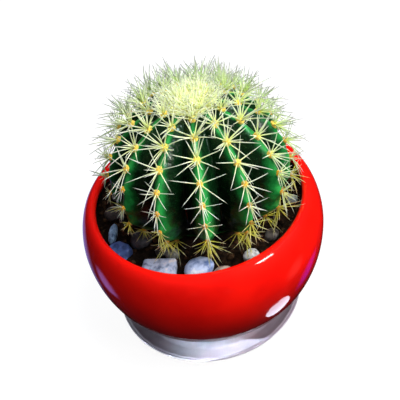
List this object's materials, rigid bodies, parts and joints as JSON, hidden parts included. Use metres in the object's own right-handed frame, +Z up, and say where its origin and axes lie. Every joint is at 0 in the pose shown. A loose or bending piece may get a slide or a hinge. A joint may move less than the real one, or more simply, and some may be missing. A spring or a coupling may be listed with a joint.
{
  "type": "potted round cactus",
  "caption": "Round ribbed cactus with pale spines and a woolly crown, potted in soil with pebbles in a round glazed bowl on a shallow saucer.",
  "frame": {"origin": "on the surface that the saucer stands on, under the bowl's vertical axis", "axes": "+Z up, -Y towards the viewer of the picture"},
  "size_m": [0.136, 0.136, 0.1522],
  "materials": {
    "white_glaze": "gloss",
    "red_glaze": "gloss",
    "potting_mix": "matte",
    "pale_stone": "satin",
    "slate_stone": "satin",
    "dark_stone": "satin",
    "grey_stone": "satin",
    "cactus_skin": "satin",
    "spine_mat": "matte"
  },
  "bodies": {
    "root": {"saucer": "white_glaze", "pot": "red_glaze", "soil": "potting_mix", "pebble_01": "pale_stone", "pebble_02": "pale_stone", "pebble_03": "dark_stone", "pebble_04": "grey_stone", "pebble_05": "dark_stone", "pebble_06": "slate_stone", "pebble_07": "slate_stone", "pebble_08": "dark_stone", "pebble_09": "pale_stone", "pebble_10": "grey_stone", "pebble_11": "dark_stone", "pebble_12": "grey_stone", "pebble_13": "dark_stone", "pebble_14": "grey_stone", "pebble_15": "grey_stone", "pebble_16": "dark_stone", "pebble_17": "grey_stone", "cactus": "cactus_skin", "crown": "spine_mat"}
  },
  "joints": []
}
